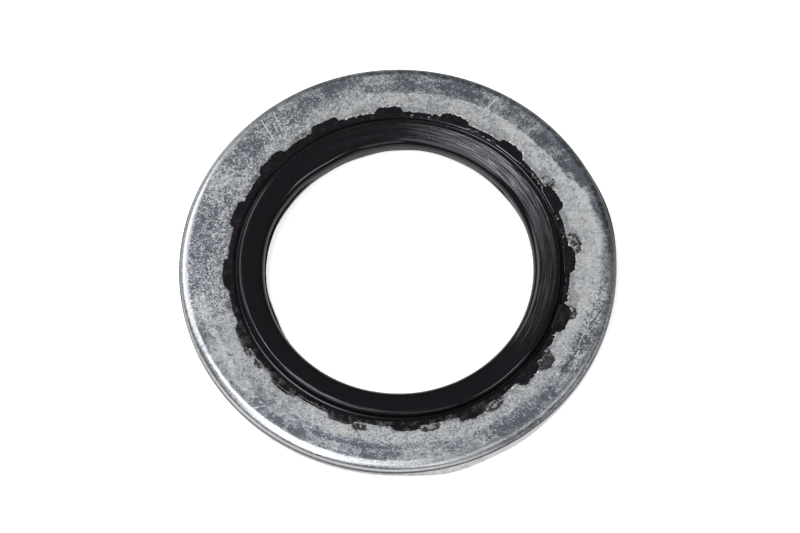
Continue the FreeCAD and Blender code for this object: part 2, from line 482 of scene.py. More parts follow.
def mark_lightness(angle, radius):
    """Lightness from -1 to 1 that the strokes and patches give each place on the upper face."""
    turn = np.radians(angle)
    x, y = radius * np.cos(turn), radius * np.sin(turn)
    ragged = rough(x * 2.2, y * 2.2, 4.0)
    total = np.zeros_like(x)
    for first, out_first, last, out_last, width, lightness in STROKES:
        start = face_place(first, out_first)
        line = face_place(last, out_last) - start
        share = np.clip(((x - start[0]) * line[0] + (y - start[1]) * line[1]) / (line @ line), 0, 1)
        gap = np.hypot(x - start[0] - share * line[0], y - start[1] - share * line[1])
        total += lightness * (1 - smooth(0.3, 1.1, gap / width - 0.25 * ragged))
    for middle, out, along, across, lightness, edge in PATCHES:
        out = np.hypot(*face_place(middle, out))
        u = np.radians(turned(angle, face_angle(middle))) * out / along
        v = (radius - out) / across
        gap = np.hypot(u, v) + 0.28 * ragged
        total += lightness * (1 - smooth(0.6, 1.1, gap))
        total += edge * np.exp(-(((gap - 0.95) / 0.09) ** 2))
    return np.clip(total, -1, 1)


def steel_rings(settings, angle):
    """Radii and heights of the steel's section at each angle, from the bore over the top and back."""
    rim = to_mm(settings.rim_radius)
    top = to_mm(settings.thickness) / 2
    roll = to_mm(settings.die_roll)
    taper = to_mm(settings.break_taper)
    bore = lug_outline(
        angle, to_mm(settings.bore_radius), to_mm(settings.notch_reach), to_mm(settings.notch_width))
    bore = bore + 0.02 * rough_round(angle, 0.2, 5.3)
    roll_width = roll + around(angle, (
        (0, 0.0), (40, 0.0), (110, 0.03), (140, 0.12), (165, 0.14), (200, 0.10), (290, 0.08), (330, 0.04)))
    flat_end = rim - roll_width
    break_line = around(angle, (
        (0, 0.0), (90, 0.0), (150, -0.1), (200, -0.14), (265, -0.14), (282, -0.06), (300, 0.0)))
    break_line += 0.02 * rough_round(angle, 2.5, 1.4) + 0.012 * rough_round(angle, 0.4, 2.9)
    bulge = swell(angle, BULGE)
    burr = sum(swell(angle, fault) for fault in BURRS)
    rows = []
    for share in np.linspace(0, 1, 46) ** 1.1:
        rows.append((bore + (flat_end - bore) * share, np.full_like(angle, top)))
    for tilt in np.radians(np.linspace(0, 90, 14)[1:]):
        rows.append((
            flat_end + roll_width * math.sin(tilt),
            np.full_like(angle, top - roll + roll * math.cos(tilt))))
    rows.append((rim + bulge, (top - roll + break_line) / 2))
    rows.append((rim + bulge, break_line + 0.012))
    bottom_round = 0.04
    low = -top + bottom_round
    for step, share in enumerate(np.linspace(0, 1, 7)):
        torn = 0.014 * rough_round(angle, 0.22, 20 + step * 0.4)
        out = rim - 0.01 + bulge + (burr - taper) * share
        rows.append((out + torn, break_line + (low - break_line) * share))
    corner = rim - 0.01 - taper - bottom_round + bulge + burr
    for tilt in np.radians((30, 60, 90)):
        rows.append((
            corner + bottom_round * math.cos(tilt),
            np.full_like(angle, low - bottom_round * math.sin(tilt))))
    for share in (0.03, *np.linspace(0, 1, 9)[1:]):
        rows.append((corner + (bore - corner) * share, np.full_like(angle, -top)))
    for share in (1 / 3, 2 / 3):
        rows.append((bore.copy(), np.full_like(angle, -top + 2 * top * share)))
    radius = np.array([row[0] for row in rows])
    height = np.array([row[1] for row in rows])
    return radius, height, bore, flat_end, break_line


def zinc_tone(angles, radius, flat_end, on_top):
    """Lightness of the zinc and of the chalk on it, about -1 to 1, with painted shade next to the rolled
    edge.
    """
    tone = np.zeros_like(radius)
    tone[on_top] = mark_lightness(angles[on_top], radius[on_top])
    pale = 0.35 * tone + around(angles, (
        (0, 0.0), (45, 0.08), (64, -0.04), (84, -0.12), (98, -0.02), (112, -0.16), (140, -0.16),
        (150, -0.07), (160, -0.24), (174, 0.0), (193, 0.2), (208, 0.05), (228, -0.08), (248, 0.08),
        (270, 0.04), (300, -0.04), (322, -0.12), (334, 0.0)))
    wash = around(angles, (
        (0, 0.3), (12, 0.0), (30, -0.3), (45, -0.05), (60, -0.1), (72, -0.25), (84, -0.15), (110, -0.2),
        (140, 0.0), (160, -0.15), (180, -0.05), (205, -0.08), (230, -0.05), (252, -0.1), (285, 0.2),
        (303, -0.1), (316, 0.1), (336, 0.05), (350, 0.4)))
    tone = tone + wash * smooth(11.0, 11.5, radius)
    # Painted shade: at these angles the face beside the rolled edge and the edge itself are darkened, so the
    # edge shows no highlight there.
    roll_shade = around(angles, (
        (0, 0.0), (7, 0.9), (14, 0.9), (24, 0.5), (34, 0.7), (44, 0.1), (270, 0.0), (293, 0.2), (306, 0.8),
        (318, 0.3), (345, 0.0)))
    return tone - 0.7 * roll_shade * smooth(flat_end - 0.5, flat_end + 0.05, radius), pale


def chalk_cover(angles, radius):
    """Share of each place on the steel that the chalky film covers."""
    chalk_end = around(angles, (
        (0, 11.95), (8, 12.15), (22, 12.15), (26, 11.9), (31, 11.55), (45, 11.5), (64, 11.5), (84, 11.38),
        (96, 11.4), (104, 11.6), (125, 11.2), (150, 11.3), (160, 11.0), (180, 11.1), (205, 11.35),
        (228, 11.2), (272, 11.25), (286, 11.5), (318, 11.45), (335, 11.4), (345, 11.6), (352, 11.95)))
    softness = around(angles, (
        (0, 0.30), (22, 0.16), (30, 0.08), (40, 0.05), (90, 0.06), (105, 0.5), (190, 0.6), (225, 0.3),
        (238, 0.1), (272, 0.12), (300, 0.08), (318, 0.2), (335, 0.4)))
    strength = around(angles, (
        (0, 0.95), (45, 1.0), (90, 1.0), (115, 0.75), (140, 0.5), (165, 0.35), (185, 0.4),
        (205, 0.6), (235, 0.75), (300, 0.85)))
    waver = 0.05 * rough_round(angles, 1.6, 6.6) + 0.03 * rough_round(angles, 0.4, 6.9)
    return strength * (1 - smooth(-softness, softness, radius - chalk_end - waver))


def paint_rim(mesh, settings, angles, radius, height, flat_end, break_line):
    """Paints the burnished roll with its painted highlight, the painted shade on the roll's lower part, and
    the torn wall under it with a painted highlight.
    """
    rim, roll = to_mm(settings.rim_radius), to_mm(settings.die_roll)
    # How burnished the rolled edge looks at each angle: partly real burnishing, partly a painted highlight
    # that is strong where the lamps catch the edge and faint elsewhere, leaving it dark.
    burnish_and_highlight = around(angles, (
        (0, 0.3), (16, 0.0), (95, 0.05), (125, 0.3), (140, 0.7), (160, 0.9), (200, 0.9), (215, 1.0),
        (280, 1.0), (293, 0.6), (303, 0.12), (312, 0.15), (326, 0.4), (350, 0.3)))
    rolled = smooth(flat_end - 0.04, flat_end + 0.28, radius)
    drop = height - to_mm(settings.thickness) / 2 + roll
    shade_from = around(angles, (
        (0, 0.36), (60, 0.40), (110, 0.38), (140, 0.27), (180, 0.24), (200, 0.10), (235, 0.05),
        (262, 0.07), (285, 0.08), (300, 0.14), (330, 0.2)))
    paint(mesh, "rim", rolled * burnish_and_highlight * smooth(shade_from - 0.02, shade_from + 0.08, drop))
    # Painted shade: how strongly the lower part of the roll is darkened at each angle.
    shade = around(angles, (
        (0, 0.6), (20, 0.8), (40, 0.7), (90, 0.75), (140, 0.9), (180, 1.0), (280, 1.0), (320, 0.75),
        (345, 0.6)))
    paint(mesh, "rim_shade", shade * smooth(flat_end, flat_end + 0.1, radius) * (
        1 - smooth(shade_from - 0.05, shade_from + 0.03, drop)))
    wall = smooth(rim - 0.2, rim - 0.12, radius)
    paint(mesh, "torn", wall * (1 - smooth(0.0, 0.01, height - break_line)))
    # Painted highlight: the torn wall is painted brighter round one angle.
    paint(mesh, "wall_highlight", swell(angles, WALL_HIGHLIGHT))


def paint_residue(mesh, settings, angles, radius, on_top, past_film):
    """Paints what the seal left on the steel: scars, old films, smudges and glints."""
    grit = around(angles, (
        (0, 0.1), (20, 0.05), (35, 0.4), (110, 0.4), (135, 0.8), (165, 1.0), (185, 0.9), (203, 0.15),
        (218, 0.2), (240, 0.4), (300, 0.4), (322, 0.35), (335, 0.8), (352, 0.8)))
    fine_right = smooth(318, 330, angles) * (1 - smooth(11.4, 11.7, radius))
    paint(mesh, "grit", grit * (1 - 0.8 * fine_right))
    scar = np.zeros_like(radius)
    for scrap in SCRAPS:
        gap = scrap_gap(angles, radius, scrap)
        scar = np.maximum(scar, (1 - smooth(-0.1, 0.1, gap)) * (0.45 + 0.55 * scrap[4]))
    paint(mesh, "scar", np.where(on_top, scar, 0))
    old = lug_outline(angles - OLD_TURN, OLD_BASE, 0.42, to_mm(settings.notch_width) - 0.1)
    old = old + 0.03 * rough_round(angles, 0.25, 33.0)
    seen = around(angles, (
        (0, 0.9), (36, 1.0), (60, 0.7), (100, 0.5), (112, 0.1), (130, 0.0), (270, 0.0), (285, 0.4),
        (310, 0.6), (350, 0.9)))
    paint(mesh, "old_film", np.where(on_top, seen * (1 - smooth(-0.05, 0.03, radius - old)), 0))
    old_line = np.exp(-(((radius - old) / 0.04) ** 2)) * smooth(-0.1, 0.4, rough_round(angles, 0.5, 3.3))
    old_line *= smooth(0.08, 0.16, past_film)
    paint(mesh, "old_line", np.where(on_top, seen * old_line, 0))
    smudge_reach = around(angles, (
        (0, 0.05), (70, 0.06), (100, 0.12), (150, 0.16), (185, 0.16), (215, 0.2), (250, 0.16),
        (290, 0.16), (325, 0.14), (345, 0.08)))
    smudge = np.exp(-np.clip(past_film, 0, None) / smudge_reach)
    dirty = around(angles, (
        (8, 0.0), (27, 0.5), (48, 0.7), (87, 0.5), (102, 1.0), (148, 1.0), (166, 0.7), (191, 1.0), (206, 0.2),
        (240, 0.3), (262, 0.4), (279, 1.0), (303, 1.0), (321, 0.9), (345, 0.8)))
    old_lug = (angles - DIRT_TURN + LUG_STEP / 2) % LUG_STEP - LUG_STEP / 2
    dirt = dirty * np.exp(-((old_lug / 4.5) ** 2)) * (1 - smooth(10.35, 10.75, radius))
    # Painted highlight: bright steel along the film's torn edge, painted as glints that are strongest on the
    # sides where the lamps catch it.
    shine = around(angles, ((0, 0.8), (20, 1.0), (60, 1.0), (105, 0.7), (130, 0.2), (300, 0.1), (335, 0.6)))
    smudge *= 1 - 0.7 * shine
    paint(mesh, "smudge", np.where(on_top, np.maximum(smudge, 0.9 * dirt), 0))
    edge_band = np.exp(-((np.clip(past_film, 0, None) / 0.055) ** 2))
    sparkle = smooth(0.15, 0.4, rough_round(angles, 0.16, 7.7) + 0.5 * rough_round(angles, 0.9, 7.3))
    paint(mesh, "edge", np.where(on_top, shine * edge_band * sparkle, 0))


def make_steel_mesh(settings):
    """The steel ring: torn inner edge, matte marked face, rolled rim made bright by burnishing and a painted
    highlight, and torn lower wall.
    """
    angle = np.linspace(0, 360, STEEL_COLUMNS, endpoint=False)
    radius, height, bore, flat_end, break_line = steel_rings(settings, angle)
    top = to_mm(settings.thickness) / 2
    angles = np.broadcast_to(angle, radius.shape)
    on_top = (height > top - 1e-6) & (radius < flat_end + 1e-6)
    turn = np.radians(angles)
    flat_x, flat_y = radius * np.cos(turn), radius * np.sin(turn)
    tone, pale = zinc_tone(angles, radius, flat_end, on_top)

    past_film = radius - film_edge(angle, settings)
    lift = around(angles, (
        (0, 0.02), (20, 0.02), (60, 0.022), (95, 0.02), (125, 0.01), (170, 0.008),
        (250, 0.006), (300, 0.01), (330, 0.02)))
    lip = np.exp(-np.clip(past_film, 0, None) / 0.06) * lift * smooth(-0.03, 0.0, past_film)
    lip *= 0.4 + 0.6 * np.abs(rough_round(angles, 0.3, 2.2))
    dents = np.zeros_like(radius)
    dents[on_top] = rough(flat_x[on_top] * 0.8, flat_y[on_top] * 0.8, 9.0)
    fade_out = np.clip((flat_end - radius) / 0.4, 0, 1)
    under_film = 0.035 * (1 - smooth(-0.07, -0.01, past_film))
    wear = (0.006 * dents + 0.004 * np.clip(tone, -1, 0)) * fade_out
    height = height + np.where(on_top, lip + wear - under_film, 0)

    shift = to_mm(settings.rim_shift) * smooth(bore + 0.4, flat_end, radius)
    x = flat_x + shift * math.cos(settings.rim_shift_turn)
    y = flat_y + shift * math.sin(settings.rim_shift_turn)
    mesh = mesh_from_rings("steel_ring", np.stack([x, y, height], axis=-1))

    paint(mesh, "chalk", np.where(on_top, chalk_cover(angles, radius), 0))
    paint(mesh, "tone", tone)
    paint(mesh, "pale", pale)
    paint_rim(mesh, settings, angles, radius, height, flat_end, break_line)
    paint_residue(mesh, settings, angles, radius, on_top, past_film)
    return mesh


def rounded_run(corners, counts, bends):
    """Places along straight runs through (radius, height) corners, whose bends are arcs.

    counts holds the number of places on each run, and bends a (arc radius, places) for each
    inner corner.
    """
    corners = np.array(corners, float)
    places = []
    start = corners[0]
    for i, (count, bend) in enumerate(zip(counts, list(bends) + [None])):
        end = corners[i + 1]
        after = None
        if bend:
            size, steps = bend
            before = (corners[i] - end) / np.linalg.norm(corners[i] - end)
            ahead = (corners[i + 2] - end) / np.linalg.norm(corners[i + 2] - end)
            half = math.acos(np.clip(before @ ahead, -1, 1)) / 2
            cut = size / math.tan(half)
            centre = end + (before + ahead) / np.linalg.norm(before + ahead) * size / math.sin(half)
            arc_start, arc_end = end + before * cut, end + ahead * cut
            a, b = arc_start - centre, arc_end - centre
            swing = math.acos(np.clip((a @ b) / size**2, -1, 1))
            shares = np.linspace(0, 1, steps)
            arc = [
                centre + (a * math.sin((1 - s) * swing) + b * math.sin(s * swing)) / math.sin(swing)
                for s in shares
            ]
            end, after = arc_start, arc
        for share in np.linspace(0, 1, count, endpoint=False):
            places.append(start + (end - start) * share)
        if after is None:
            places.append(end)
            start = end
        else:
            places.extend(after[:-1])
            start = after[-1]
    return np.array(places)


def seal_half(settings, fine):
    """Section of the upper half of the seal, from the margin's inner part to the flash line."""
    groove, foot = to_mm(settings.groove_radius), to_mm(settings.foot_radius)
    crest, land = to_mm(settings.crest_radius), to_mm(settings.land_radius)
    crest_round, shoulder_round = to_mm(settings.crest_round), to_mm(settings.shoulder_round)
    crest_up = to_mm(settings.crest_height) + 0.15 * crest_round
    shoulder_up = crest_up - (crest - land) * math.tan(settings.fall)
    groove_up, flash = 0.46, 0.05
    corners = (
        (groove + 0.12, MARGIN_UP), (groove, MARGIN_UP), (groove - 0.04, groove_up), (foot, groove_up),
        (crest, crest_up),
        (land, shoulder_up), (land, flash), (to_mm(settings.bore_radius), 0),
    )
    flank, slope, wall, fin = (4, 17, 3, 2) if fine else (2, 5, 1, 1)
    crest_steps, shoulder_steps = (7, 14) if fine else (4, 7)
    bends = (
        (0.02, 2), (0.01, 2), (0.015, 2), (crest_round, crest_steps),
        (shoulder_round, shoulder_steps), (0.02, 2))
    return rounded_run(corners, (1, 1, 1, flank, slope, wall, fin), bends)


def make_seal_mesh(settings, steel):
    """The rubber seal: ragged margin film, groove, bead with turning marks, bore land and flash."""
    angle = np.linspace(0, 360, SEAL_COLUMNS, endpoint=False)
    outline = lug_outline(
        angle, to_mm(steel.bore_radius), to_mm(steel.notch_reach), to_mm(steel.notch_width))
    top = to_mm(steel.thickness) / 2
    rows, in_body = [], []

    def add_row(radius, height, is_body):
        rows.append((np.broadcast_to(radius, angle.shape), np.broadcast_to(height, angle.shape)))
        in_body.append(is_body)

    for side, fine in ((1, True), (-1, False)):
        half = seal_half(settings, fine)
        inner = half[0][0]
        if side > 0:
            film = film_edge(angle, steel)
        else:
            film = outline + 0.03 + 0.05 * rough_round(angle, 0.3, 17.0)
        lump = 0.004 * rough_round(angle, 0.5, 12.5 * side)
        film_top, film_foot = top + 0.011, np.minimum(film - 0.25, outline - 0.16)
        margin = [
            (outline + 0.01, top - 0.03),
            (film, top - 0.002),
            (film - 0.004, top + 0.009),
            (film - 0.012, film_top),
            (np.minimum(film - 0.07, outline + 0.02), film_top + 0.4 * lump),
        ]
        for share in (0, 0.25, 0.5, 0.75) if fine else (0, 0.5):
            left = (lump + 0.004) * (1 - share)
            margin.append((film_foot + (inner - film_foot) * share, MARGIN_UP + left))
        if side > 0:
            for radius, height in margin:
                add_row(radius, height, False)
            for radius, height in half:
                add_row(radius, height, True)
        else:
            for radius, height in half[:-1][::-1]:
                add_row(radius, -height, True)
            for radius, height in margin[::-1]:
                add_row(radius, -height, False)
    radius = np.array([row[0] for row in rows])
    height = np.array([row[1] for row in rows])
    angles = np.broadcast_to(angle, radius.shape)
    is_body = np.array(in_body)[:, None]

    crest = to_mm(settings.crest_radius)
    shoulder = to_mm(settings.land_radius) + 0.8 * to_mm(settings.shoulder_round)
    on_slope = is_body * smooth(shoulder - 0.15, shoulder + 0.05, radius) * (
        1 - smooth(crest - 0.15, crest - 0.03, radius))
    lines = rough(radius * 16, np.cos(np.radians(angles)) * 1.2, np.sin(np.radians(angles)) * 1.2)
    height = height + np.sign(height) * on_slope * 0.0045 * lines
    sway = 0.015 * rough_round(angles, 6.0, 30.0)
    sway_up = around(angles, (
        (0, 0.0), (50, 0.04), (85, 0.0), (102, -0.08), (120, -0.2), (138, -0.1), (160, 0.0)))
    sway_low = around(angles, (
        (0, 0.09), (20, 0.08), (40, 0.02), (60, 0.06), (78, 0.12), (92, 0.03), (106, -0.09),
        (122, -0.15), (140, -0.15), (158, -0.08), (180, -0.05), (220, -0.02), (240, -0.05), (262, -0.05),
        (285, 0.02), (320, 0.08)))
    sway = sway + np.where(height > 0.04, sway_up, sway_low)
    wall = is_body * (1 - smooth(shoulder - 0.25, shoulder - 0.15, radius))
    inward = is_body * (1 - smooth(shoulder - 0.2, shoulder + 0.3, radius))
    radius = radius + sway * inward
    crest_shift = around(angles, (
        (0, 0.12), (20, 0.11), (45, 0.08), (66, 0.05), (85, 0.0), (140, 0.01), (165, 0.05), (200, 0.04),
        (230, 0.0), (270, 0.03), (300, 0.12), (340, 0.14)))
    radius = radius + is_body * crest_shift * np.exp(-(((radius - crest - 0.03) / 0.35) ** 2))
    fin = is_body * (np.abs(height) < 0.02)
    radius = radius + fin * (0.012 * rough_round(angles, 0.5, 41.0) - swell(angles, FLAP))

    turn = np.radians(angles)
    mesh = mesh_from_rings("seal_ring", np.stack(
        [radius * np.cos(turn), radius * np.sin(turn), height], axis=-1))
    dusty = around(angles, (
        (0, 0.15), (60, 0.1), (100, 0.1), (180, 0.15), (200, 0.5), (235, 0.9), (280, 0.7), (320, 0.2)))
    paint(mesh, "dusty", np.where(is_body, 0, dusty))
    line_depth = around(angles, (
        (0, 0.7), (20, 1.0), (75, 1.0), (100, 0.6), (140, 0.45), (165, 0.6), (200, 0.4), (290, 0.35),
        (330, 0.55)))
    paint(mesh, "turned", on_slope * line_depth)
    paint(mesh, "wall", wall)
    return mesh


def add_slab(places, faces, keep, top_places, low_places):
    """Adds a closed thin slab over the kept cells of a grid, whose rows run outwards."""
    rows, columns = keep.shape
    found = {}

    def corner(i, j, low):
        if (i, j, low) not in found:
            found[i, j, low] = len(places)
            places.append((low_places if low else top_places)[i, j])
        return found[i, j, low]

    for i, j in zip(*np.nonzero(keep)):
        loop = ((i, j), (i + 1, j), (i + 1, j + 1), (i, j + 1))
        faces.append([corner(a, b, False) for a, b in loop])
        faces.append([corner(a, b, True) for a, b in reversed(loop)])
        for side, (down, along) in enumerate(((0, -1), (1, 0), (0, 1), (-1, 0))):
            row, column = i + down, j + along
            if 0 <= row < rows and 0 <= column < columns and keep[row, column]:
                continue
            first, last = loop[side], loop[(side + 1) % 4]
            faces.append([
                corner(*last, False), corner(*first, False), corner(*first, True), corner(*last, True)])


def make_scrap_mesh(settings, steel):
    """Thin ragged scraps of rubber on the steel, in the arches of the old notch marks."""
    top = to_mm(steel.thickness) / 2
    film_height = to_mm(settings.film_height)
    cell = 0.026
    places, faces = [], []
    for number, scrap in enumerate(SCRAPS):
        middle, outer, half_width, rim_width, covered = scrap
        out = np.arange(10.25, outer + 0.08, cell)
        along = np.arange(-half_width - 0.08, half_width + 0.08, cell)
        radius, across = np.meshgrid(out, along, indexing="ij")
        angles = face_angle(middle) + np.degrees(across / outer)
        wear = rough(across * 2.2, radius * 2.2, 50.0 + 7 * number)
        crumbs = rough(across * 5.5, radius * 5.5, 90.0 + 7 * number)
        gap = scrap_gap(angles, radius, scrap) + 0.10 * crumbs + 0.14 * wear
        outline = (gap < 0) & (gap > -rim_width * (1.3 + 1.8 * wear + 0.8 * crumbs))
        outline &= wear + 0.5 * crumbs > -0.2 - 0.6 * covered
        inside = (gap < 0) & (0.8 * crumbs + 0.6 * wear > 0.5 - covered)
        film = film_edge(angles[0], steel)[None, :]
        keep = (outline | inside) & (radius > film - 0.03)
        turn = np.radians(angles)
        x, y = radius * np.cos(turn), radius * np.sin(turn)
        lift = film_height * (0.7 + 0.9 * np.clip(crumbs + 0.5, 0, 1))
        top_places = np.stack([x, y, top + lift], axis=-1)
        low_places = np.stack([x, y, np.full_like(x, top - 0.012)], axis=-1)
        add_slab(places, faces, keep[:-1, :-1], top_places, low_places)
    mesh = bpy.data.meshes.new("rubber_scraps")
    mesh.from_pydata([tuple(place * MM) for place in places], [], faces)
    mesh.update()
    mesh.shade_smooth()
    return mesh


def make_chip_mesh(settings, steel):
    """Bright chips of torn steel along the seal's edge and a few on the face."""
    top = to_mm(steel.thickness) / 2
    draw = np.random.default_rng(settings.seed)
    made = bmesh.new()
    for number in range(settings.chip_count):
        stray = number % 7 == 0
        if stray:
            angle, radius = draw.uniform(0, 360), draw.uniform(10.6, 12.3)
            size = draw.uniform(0.018, 0.03)
        else:
            angle = draw.choice((draw.uniform(-5, 108), draw.uniform(300, 352)))
            radius = film_edge(np.array([angle]), steel)[0] + draw.normal(0.0, 0.05)
            size = draw.uniform(0.015, 0.05)
        turn = math.radians(angle)
        centre = Vector((radius * math.cos(turn), radius * math.sin(turn), top + 0.012))
        flatness = draw.uniform(0.35, 0.8)
        corners = [
            made.verts.new((centre + Vector((a * size * 1.5, b * size, c * size * flatness))) * MM)
            for a, b, c in draw.normal(0.0, 0.75, (10, 3))
        ]
        hull = bmesh.ops.convex_hull(made, input=corners)
        loose = [item for item in hull["geom_interior"] if isinstance(item, bmesh.types.BMVert)]
        bmesh.ops.delete(made, geom=loose, context="VERTS")
    bmesh.ops.recalc_face_normals(made, faces=made.faces)
    mesh = bpy.data.meshes.new("steel_chips")
    made.to_mesh(mesh)
    made.free()
    return mesh


def feed(tree, socket, value):
    """Gives a socket another node's output or a plain value."""
    if isinstance(value, bpy.types.NodeSocket):
        tree.links.new(value, socket)
    else:
        socket.default_value = value


def reckon(tree, operation, first, second):
    """One sum of two numbers."""
    made = tree.nodes.new("ShaderNodeMath")
    made.operation = operation
    feed(tree, made.inputs[0], first)
    feed(tree, made.inputs[1], second)
    return made.outputs[0]


def plus(tree, start, *terms):
    """start plus each value times its weight."""
    for value, weight in terms:
        made = tree.nodes.new("ShaderNodeMath")
        made.operation = "MULTIPLY_ADD"
        feed(tree, made.inputs[0], value)
        feed(tree, made.inputs[1], weight)
        feed(tree, made.inputs[2], start)
        start = made.outputs[0]
    return start


def step_up(tree, value, low, high, start=0.0, end=1.0):
    """A smooth step of value from low to high, given as start to end."""
    made = tree.nodes.new("ShaderNodeMapRange")
    made.interpolation_type = "SMOOTHSTEP"
    feed(tree, made.inputs["Value"], value)
    for name, number in (("From Min", low), ("From Max", high), ("To Min", start), ("To Max", end)):
        feed(tree, made.inputs[name], number)
    return made.outputs[0]


def mix_tones(tree, share, first, second):
    """The first colour where share is 0 and the second where it is 1."""
    made = tree.nodes.new("ShaderNodeMix")
    made.data_type = "RGBA"
    feed(tree, made.inputs["Factor"], share)
    feed(tree, made.inputs[6], first if isinstance(first, bpy.types.NodeSocket) else (*first, 1.0))
    feed(tree, made.inputs[7], second if isinstance(second, bpy.types.NodeSocket) else (*second, 1.0))
    return made.outputs[2]


def cloud(tree, place, scale, detail=4.0, roughness=0.6):
    """Noise from 0 to 1 with about scale lumps to the millimetre."""
    made = tree.nodes.new("ShaderNodeTexNoise")
    feed(tree, made.inputs["Vector"], place)
    made.inputs["Scale"].default_value = scale
    made.inputs["Detail"].default_value = detail
    made.inputs["Roughness"].default_value = roughness
    return made.outputs["Fac"]


def spangle(tree, place, scale):
    """A random number from 0 to 1 in each of about scale soft-edged specks to the millimetre."""
    made = tree.nodes.new("ShaderNodeTexVoronoi")
    made.feature = "SMOOTH_F1"
    made.inputs["Smoothness"].default_value = 0.4
    feed(tree, made.inputs["Vector"], place)
    made.inputs["Scale"].default_value = scale
    split = tree.nodes.new("ShaderNodeSeparateColor")
    tree.links.new(made.outputs["Color"], split.inputs[0])
    return split.outputs[0]


def scratch(tree, place, waver, start, end, width):
    """1 along a thin line between two places in millimetres and 0 beside it."""
    line = end - start
    from_start = vector_step(tree, "SUBTRACT", place, start).outputs[0]
    share = vector_step(tree, "DOT_PRODUCT", from_start, tuple(line / line.length_squared)).outputs["Value"]
    share = reckon(tree, "MINIMUM", reckon(tree, "MAXIMUM", share, 0.0), 1.0)
    along = vector_step(tree, "SCALE", tuple(line), scale=share).outputs[0]
    gap = vector_step(tree, "DISTANCE", from_start, along).outputs["Value"]
    gap = plus(tree, gap, (waver, 0.9 * width))
    return step_up(tree, gap, 0.35 * width, 0.85 * width, 1.0, 0.0)


def painted(tree, name):
    """A number painted on the mesh."""
    made = tree.nodes.new("ShaderNodeAttribute")
    made.attribute_name = name
    return made.outputs["Fac"]


def vector_step(tree, operation, first, second=None, scale=None):
    """One sum with vectors, as the node itself."""
    made = tree.nodes.new("ShaderNodeVectorMath")
    made.operation = operation
    feed(tree, made.inputs[0], first)
    if second is not None:
        feed(tree, made.inputs[1], second)
    if scale is not None:
        feed(tree, made.inputs["Scale"], scale)
    return made


def place_in_mm(tree):
    """The place on the piece in millimetres."""
    made = tree.nodes.new("ShaderNodeTexCoord")
    return vector_step(tree, "SCALE", made.outputs["Object"], scale=1 / MM).outputs[0]


def round_place(tree, place, along, out):
    """A place whose noise runs round the ring where out is the larger and outwards where along is."""
    flat = vector_step(tree, "MULTIPLY", place, (1.0, 1.0, 0.0)).outputs[0]
    unit = vector_step(tree, "NORMALIZE", flat).outputs[0]
    spun = vector_step(tree, "SCALE", unit, scale=along).outputs[0]
    length = vector_step(tree, "LENGTH", flat).outputs["Value"]
    lifted = tree.nodes.new("ShaderNodeCombineXYZ")
    feed(tree, lifted.inputs["Z"], reckon(tree, "MULTIPLY", length, out))
    return vector_step(tree, "ADD", spun, lifted.outputs[0]).outputs[0]


def bump(tree, height, depth, before=None):
    """A bump of that depth in metres, on top of another one."""
    made = tree.nodes.new("ShaderNodeBump")
    made.inputs["Strength"].default_value = 1.0
    made.inputs["Distance"].default_value = depth
    feed(tree, made.inputs["Height"], height)
    if before is not None:
        feed(tree, made.inputs["Normal"], before)
    return made.outputs["Normal"]


def new_material(name):
    """An empty node material with its main shader wired up."""
    material = bpy.data.materials.new(name)
    material.use_nodes = True
    tree = material.node_tree
    shader = tree.nodes["Principled BSDF"]
    return material, tree, shader


